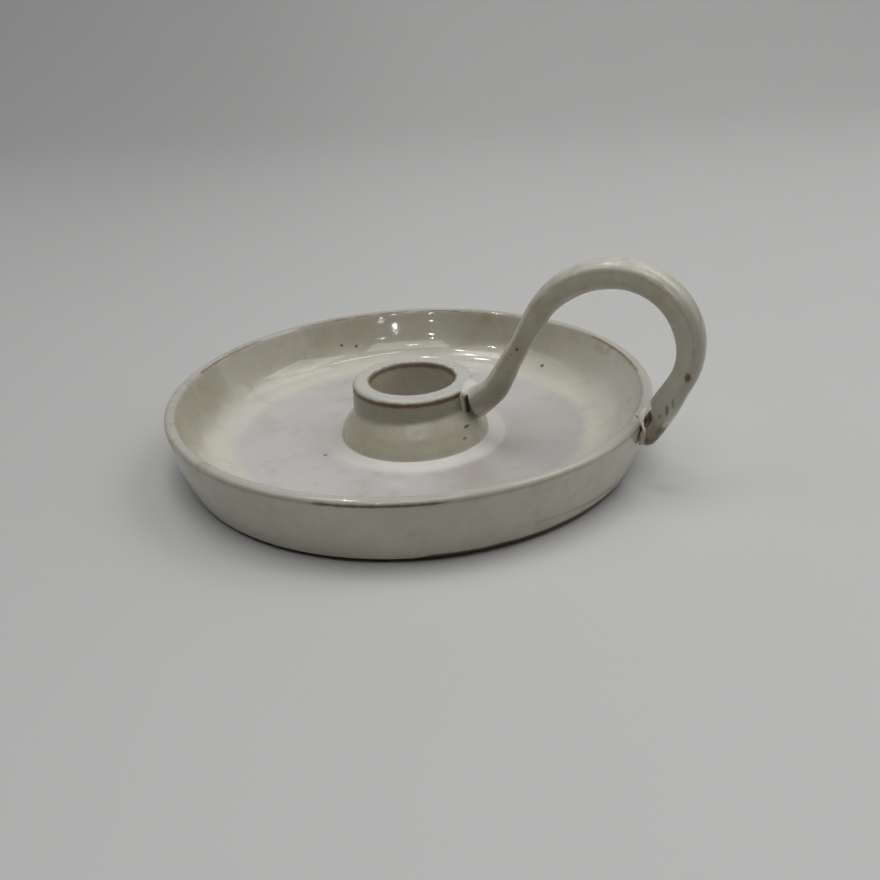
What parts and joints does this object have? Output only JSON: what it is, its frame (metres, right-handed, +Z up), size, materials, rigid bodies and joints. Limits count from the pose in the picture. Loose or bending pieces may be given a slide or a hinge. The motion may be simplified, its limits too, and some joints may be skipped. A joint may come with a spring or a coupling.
{
  "type": "chamberstick",
  "caption": "Glazed stoneware chamberstick: shallow round drip dish, collar socket for a taper candle, and a rolled finger loop from socket to lip.",
  "frame": {"origin": "centre of the dish's flat underside, on the surface that it stands on", "axes": "+Z up; +X from the dish's centre out through the finger loop; +Y completes a right-handed frame"},
  "size_m": [0.1502, 0.1358, 0.0604],
  "materials": {
    "glazed_dish": "gloss cream glaze that breaks brown on the edges",
    "glazed_fillet": "gloss cream glaze, pooled and paler",
    "glazed_coil": "gloss cream glaze over a rolled coil, with iron specks"
  },
  "bodies": {
    "root": {"saucer": "glazed_dish", "candle_socket": "glazed_dish", "socket_lute_coil": "glazed_fillet", "finger_loop": "glazed_coil", "socket_joint_pad": "glazed_coil", "rim_joint_pad": "glazed_coil"}
  },
  "joints": []
}
